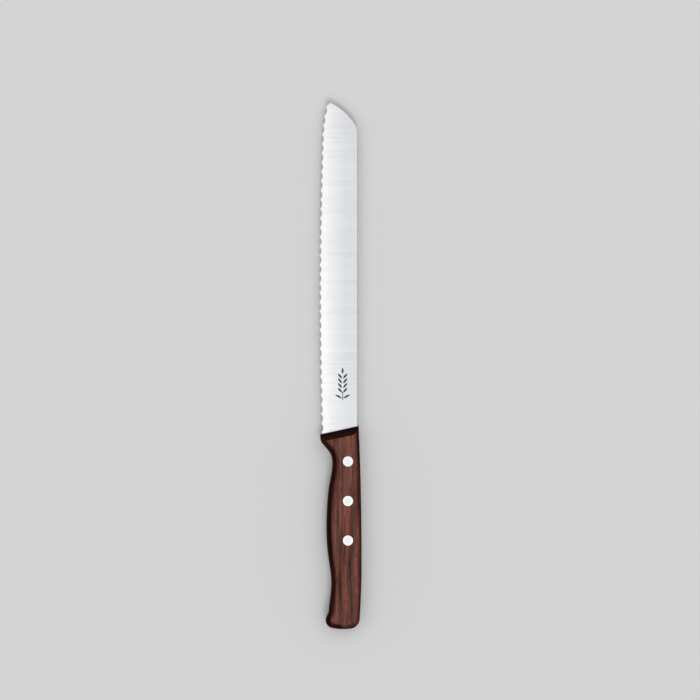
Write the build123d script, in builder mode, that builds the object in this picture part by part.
from build123d import *
import math
import os

os.makedirs("parts", exist_ok=True)

# Bread knife lying on its right side.
# +X runs from the butt to the tip, +Y from the spine to the cutting edge, +Z out of the left face.
# The origin is the middle of the knife's footprint, on the surface that it lies on.
# Profiles are drawn in "along, depth" coordinates: along is 0 at the middle of the handle's front and
# grows towards the tip, depth is 0 on the blade's straight spine and grows towards the edge.

# Driving dimensions, in millimetres and degrees
BLADE_LENGTH = 210.0
HANDLE_LENGTH = 125.0
BLADE_HEIGHT = 24.25  # deepest point of the cutting edge below the spine
HANDLE_CREST = 2.6  # how far the top of the handle stands above the spine
STEEL = 1.8  # thickness of the stamped plate, full at the spine and in the tang
EDGE_STEEL = 0.5  # thickness left behind the cutting edge by the flat grind
SCALE_THICKNESS = 7.6

# Scallops, ground into the right face by a slightly inclined wheel
SCALLOPS = 36  # the first one ends at the handle's front
SCALLOPS_TO_CREST = 16  # the edge is deepest at the tooth after these
SCALLOP_PITCH = 5.93
SCALLOP_DEPTH = 1.3
SCALLOP_TILT = 14.0
WHEEL_REACH = 40.0
BLANK_SPARE = 0.6  # steel outside the teeth before they are ground
BLANK_START = -4.0  # the ground part starts inside the tang

# Line through the tips of the teeth: three tangent arcs
TOOTH_CREST_ALONG = 88.95
HEEL_ARC_RADIUS = 2900.0
MAIN_ARC_RADIUS = 2950.0
FRONT_ARC_RADIUS = 93.0
FRONT_ARC_ANGLE = 12.0

# Point of the blade: the spine turns down in a tight knee, then in a wider sweep to the tip
KNEE_ALONG = 191.0
KNEE_RADIUS = 10.0
KNEE_ANGLE = 32.0
SWEEP_RADIUS = 36.0
SPINE_ROUND = 0.4

# Handle
FRONT_LOW = (-1.2, 23.7)
FRONT_HIGH = (4.1, -0.7)
GUARD_LENGTH = 4.1
GUARD_ROUND = 5.0
BEAK_DEPTH = 22.3
BEAK_ROUND = 5.0
BUTT_TOP_DEPTH = -1.0
BUTT_ROUND = 6.5
BUTT_RADIUS = 36.0
BUTT_CENTRE_DEPTH = 9.0
CREST_ALONG = -84.0
SIDE_ROUND = 4.4  # rounding along the outer edges of the scales
BEVEL_LENGTH = 4.7  # sloping front of the scales, measured along the knife
BEVEL_FOOT = 1.4  # upright part of the scale's front, below the slope
CREASE_ROUND = 0.5

# Compression rivets
RIVETS = {"front": -18.3, "middle": -43.4, "rear": -68.5}
RIVET_DEPTH = 6.1
HEAD_RADIUS = 3.2
HEAD_THICKNESS = 1.6
HEAD_CLEARANCE = 0.03
SOCKET_RADIUS = 2.0
PIN_RADIUS = 1.25
END_GAP = 0.4  # left in front of each half when the rivet is pressed home

# Derived places and sizes
THICKNESS = STEEL + 2 * SCALE_THICKNESS
MID_Z = THICKNESS / 2
TANG_TOP_Z = MID_Z + STEEL / 2
FRONT_X = (HANDLE_LENGTH - BLADE_LENGTH) / 2
SPINE_Y = (HANDLE_CREST - BLADE_HEIGHT) / 2
SCALLOP_SAG = SCALLOP_DEPTH * math.sin(math.radians(SCALLOP_TILT))
WHEEL_RADIUS = ((SCALLOP_PITCH / 2) ** 2 + SCALLOP_SAG**2) / (2 * SCALLOP_SAG)


def knife_plane(z):
    """Drawing plane at height z, in along and depth coordinates."""
    return Plane(origin=(FRONT_X, SPINE_Y, z))


def half_steel(depth):
    """Half of the ground blade's thickness at a depth below the spine."""
    return (STEEL - (STEEL - EDGE_STEEL) * depth / BLADE_HEIGHT) / 2


def butt_point(depth):
    """Point on the round end of the handle."""
    rise = depth - BUTT_CENTRE_DEPTH
    return (BUTT_RADIUS - math.sqrt(BUTT_RADIUS**2 - rise**2) - HANDLE_LENGTH, depth)


# Line through the tips of the teeth, from the heel to the last tooth, a whole number of scallops long
heel_length = SCALLOPS_TO_CREST * SCALLOP_PITCH
front_length = math.radians(FRONT_ARC_ANGLE) * FRONT_ARC_RADIUS
main_length = SCALLOPS * SCALLOP_PITCH - heel_length - front_length
with BuildLine() as tooth_line:
    heel_centre = (TOOTH_CREST_ALONG, BLADE_HEIGHT - HEEL_ARC_RADIUS)
    heel_angle = math.degrees(heel_length / HEEL_ARC_RADIUS)
    CenterArc(heel_centre, HEEL_ARC_RADIUS, 90 + heel_angle, -heel_angle)
    main_centre = (TOOTH_CREST_ALONG, BLADE_HEIGHT - MAIN_ARC_RADIUS)
    main_angle = math.degrees(main_length / MAIN_ARC_RADIUS)
    main_arc = CenterArc(main_centre, MAIN_ARC_RADIUS, 90, -main_angle)
    JernArc(main_arc @ 1, main_arc % 1, FRONT_ARC_RADIUS, -FRONT_ARC_ANGLE)
teeth = tooth_line.wire()


def wheel_plane(i):
    """Axis plane of the grinding wheel in scallop i: x along the edge, z along the wheel's axis.

    Level with the blade's left face, the wheel cuts an arc one pitch wide and SCALLOP_DEPTH deep.
    """
    middle = (i + 0.5) / SCALLOPS
    tilt = math.radians(SCALLOP_TILT)
    along = teeth % middle
    inward = Vector(along.Y, -along.X)
    on_line = teeth @ middle
    bottom = on_line + inward * SCALLOP_DEPTH + Vector(0, 0, half_steel(on_line.Y))
    axis = inward * math.cos(tilt) - Vector(0, 0, math.sin(tilt))
    to_centre = -inward * math.sin(tilt) - Vector(0, 0, math.cos(tilt))
    return Plane(origin=bottom + to_centre * WHEEL_RADIUS, x_dir=along, z_dir=axis)


# Side profile of the handle, shared by the tang and both scales
with BuildSketch() as handle_profile:
    guard = (FRONT_LOW[0] - GUARD_LENGTH, FRONT_LOW[1])
    beak = butt_point(BEAK_DEPTH)
    butt_top = butt_point(BUTT_TOP_DEPTH)
    with BuildLine():
        Line(FRONT_HIGH, FRONT_LOW)
        Line(FRONT_LOW, guard)
        Spline(
            guard,
            (-10.4, 19.4),
            (-14.2, 16.9),
            (-19.5, 16.0),
            (-33.0, 18.0),
            (-47.0, 19.4),
            (-61.0, 19.8),
            (-79.0, 18.6),
            (-98.0, 16.8),
            (-112.0, 18.3),
            beak,
            tangents=((-1, -0.75), (-1, 0.5)),
        )
        ThreePointArc(beak, butt_point(BUTT_CENTRE_DEPTH), butt_top)
        crest = (CREST_ALONG, -HANDLE_CREST)
        Spline(butt_top, crest, tangents=((1, -0.08), (1, 0)))
        Spline(crest, FRONT_HIGH, tangents=((1, 0), (1, 0.05)))
    make_face()
    for corner, radius in ((guard, GUARD_ROUND), (beak, BEAK_ROUND), (butt_top, BUTT_ROUND)):
        fillet(handle_profile.vertices().sort_by_distance(corner)[0], radius)

rivet_places = [(along, RIVET_DEPTH) for along in RIVETS.values()]

# Blade and tang: one steel plate, ground to a wedge in front of the handle
knee_run = KNEE_RADIUS * math.sin(math.radians(KNEE_ANGLE))
sweep_run = BLADE_LENGTH - KNEE_ALONG - knee_run
sweep_end = math.degrees(math.asin(math.sin(math.radians(KNEE_ANGLE)) + sweep_run / SWEEP_RADIUS))
blank_depth = BLADE_HEIGHT + BLANK_SPARE
with BuildPart() as blade:
    # Blank, a little deeper than the teeth that the scallops leave
    with BuildSketch(knife_plane(MID_Z)):
        with BuildLine():
            back = Line((BLANK_START, 0), (KNEE_ALONG, 0))
            knee = JernArc(back @ 1, back % 1, KNEE_RADIUS, KNEE_ANGLE)
            sweep = JernArc(knee @ 1, knee % 1, SWEEP_RADIUS, sweep_end - KNEE_ANGLE)
            past_last_tooth = teeth @ 1 + (teeth @ 1 - sweep @ 1)
            Line(sweep @ 1, past_last_tooth)
            Polyline(
                past_last_tooth,
                (past_last_tooth.X - SCALLOP_PITCH, blank_depth),
                (BLANK_START, blank_depth),
                back @ 0,
            )
        make_face()
    extrude(amount=STEEL / 2, both=True)

    # Flat grind on both faces, from the spine to the edge
    wedge_depth = blank_depth + 1
    wedge_half = half_steel(wedge_depth)
    blank_end = (FRONT_X + BLANK_START, SPINE_Y, MID_Z)
    with BuildSketch(Plane(origin=blank_end, x_dir=(0, 1, 0), z_dir=(1, 0, 0))):
        Polygon(
            (0, STEEL / 2),
            (0, -STEEL / 2),
            (wedge_depth, -wedge_half),
            (wedge_depth, wedge_half),
            align=None,
        )
    extrude(amount=BLADE_LENGTH - BLANK_START, mode=Mode.INTERSECT)
    back_faces = blade.faces().filter_by(lambda face: face.normal_at().Y < -0.3)
    fillet(back_faces.edges().filter_by(lambda line: abs(line.tangent_at(0).Z) < 0.5), SPINE_ROUND)

    with Locations(knife_plane(MID_Z)):
        with Locations(*[wheel_plane(i) for i in range(SCALLOPS)]):
            Cylinder(WHEEL_RADIUS, WHEEL_REACH, mode=Mode.SUBTRACT)

    # Tang, as high as the handle
    with BuildSketch(knife_plane(MID_Z)):
        add(handle_profile.sketch)
    extrude(amount=STEEL / 2, both=True)
    with Locations(knife_plane(TANG_TOP_Z)):
        with Locations(*rivet_places):
            Hole(SOCKET_RADIUS, STEEL)
blade.part.label = "blade"
export_step(blade.part, "parts/blade.step")

# Left handle scale: flat side, rounded edges, a sloping front and counterbored rivet holes
with BuildPart() as handle_scale_left:
    with BuildSketch(knife_plane(TANG_TOP_Z)):
        add(handle_profile.sketch)
    extrude(amount=SCALE_THICKNESS)
    outer_face = handle_scale_left.faces().sort_by(Axis.Z)[-1]
    fillet(outer_face.edges().sort_by(Axis.X)[:-1], SIDE_ROUND)

    front_foot = knife_plane(TANG_TOP_Z + BEVEL_FOOT).from_local_coords(FRONT_LOW)
    front_line = Vector(FRONT_HIGH[0] - FRONT_LOW[0], FRONT_HIGH[1] - FRONT_LOW[1])
    slope_line = Vector(-BEVEL_LENGTH, 0, SCALE_THICKNESS - BEVEL_FOOT)
    slope = Plane(origin=front_foot, x_dir=front_line, z_dir=slope_line.cross(front_line))
    split(bisect_by=slope, keep=Keep.BOTTOM)
    crease = handle_scale_left.edges().filter_by(Axis((0, 0, 0), front_line)).sort_by(Axis.Z)[-1]
    fillet(crease, CREASE_ROUND)

    with Locations(knife_plane(THICKNESS)):
        with Locations(*rivet_places):
            CounterBoreHole(
                SOCKET_RADIUS, HEAD_RADIUS + HEAD_CLEARANCE, HEAD_THICKNESS, SCALE_THICKNESS
            )
handle_scale_left.part.label = "handle_scale_left"
export_step(handle_scale_left.part, "parts/handle_scale_left.step")

# Right handle scale: the mirror image, on the other side of the tang
with BuildPart() as handle_scale_right:
    mirror(handle_scale_left.part, about=Plane.XY.offset(MID_Z))
handle_scale_right.part.label = "handle_scale_right"
export_step(handle_scale_right.part, "parts/handle_scale_right.step")

# Each rivet is a socket half, flush with the left scale, pressed onto a pin half from the right
half_length = THICKNESS - 2 * HEAD_THICKNESS - END_GAP
for name, along in RIVETS.items():
    with BuildPart() as socket:
        with BuildSketch(knife_plane(THICKNESS)):
            with Locations((along, RIVET_DEPTH)):
                Circle(HEAD_RADIUS)
        extrude(amount=-HEAD_THICKNESS)
        with BuildSketch(knife_plane(THICKNESS - HEAD_THICKNESS)):
            with Locations((along, RIVET_DEPTH)):
                Circle(SOCKET_RADIUS)
                Circle(PIN_RADIUS, mode=Mode.SUBTRACT)
        extrude(amount=-half_length)
    socket.part.label = f"rivet_{name}_socket"
    export_step(socket.part, f"parts/rivet_{name}_socket.step")

    with BuildPart() as pin:
        with BuildSketch(knife_plane(0)):
            with Locations((along, RIVET_DEPTH)):
                Circle(HEAD_RADIUS)
        extrude(amount=HEAD_THICKNESS)
        with BuildSketch(knife_plane(HEAD_THICKNESS)):
            with Locations((along, RIVET_DEPTH)):
                Circle(PIN_RADIUS)
        extrude(amount=half_length)
    pin.part.label = f"rivet_{name}_pin"
    export_step(pin.part, f"parts/rivet_{name}_pin.step")
